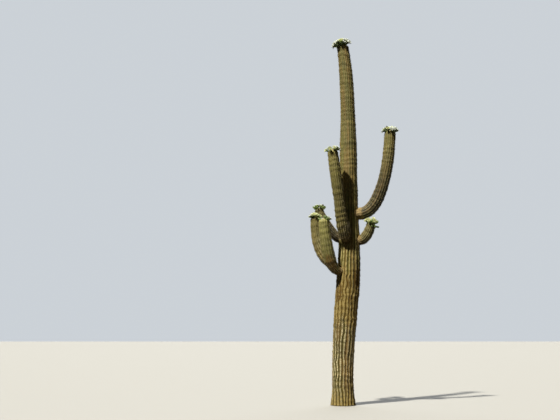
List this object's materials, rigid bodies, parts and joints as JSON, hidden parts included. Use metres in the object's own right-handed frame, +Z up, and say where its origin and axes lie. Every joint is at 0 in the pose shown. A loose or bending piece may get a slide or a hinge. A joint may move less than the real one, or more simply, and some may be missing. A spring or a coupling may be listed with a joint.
{
  "type": "saguaro cactus",
  "caption": "Tall columnar cactus in flower: a ribbed main stem, upcurved arms and a crown of white blossoms and green buds on each tip, rooted in level ground.",
  "frame": {"origin": "middle of the flat cut under the main stem at ground level", "axes": "+Z up along the main stem, -Y towards the side that the front arm is on, +X towards the side of the long right arm"},
  "size_m": [2.0098, 1.0144, 8.285],
  "materials": {
    "main_stem_skin": "waxy ribbed skin, olive brown, corky and tan towards the foot",
    "arm_skin": "waxy ribbed skin, olive green with tan rib crests",
    "blossom_crown": "waxy white petals, scaly green tubes and closed buds",
    "spines": "dull grey and straw coloured spines on tan wool pads"
  },
  "bodies": {
    "root": {"main_stem": "main_stem_skin", "front_arm_elbow": "arm_skin", "front_arm_upright": "arm_skin", "long_right_arm_elbow": "arm_skin", "long_right_arm_upright": "arm_skin", "short_right_arm_elbow": "arm_skin", "short_right_arm_upright": "arm_skin", "left_inner_arm_elbow": "arm_skin", "left_inner_arm_upright": "arm_skin", "left_outer_arm_elbow": "arm_skin", "left_outer_arm_upright": "arm_skin", "back_left_arm_elbow": "arm_skin", "back_left_arm_upright": "arm_skin", "main_stem_blossom_crown": "blossom_crown", "front_arm_blossom_crown": "blossom_crown", "long_right_arm_blossom_crown": "blossom_crown", "short_right_arm_blossom_crown": "blossom_crown", "left_inner_arm_blossom_crown": "blossom_crown", "left_outer_arm_blossom_crown": "blossom_crown", "back_left_arm_blossom_crown": "blossom_crown"}
  },
  "joints": []
}
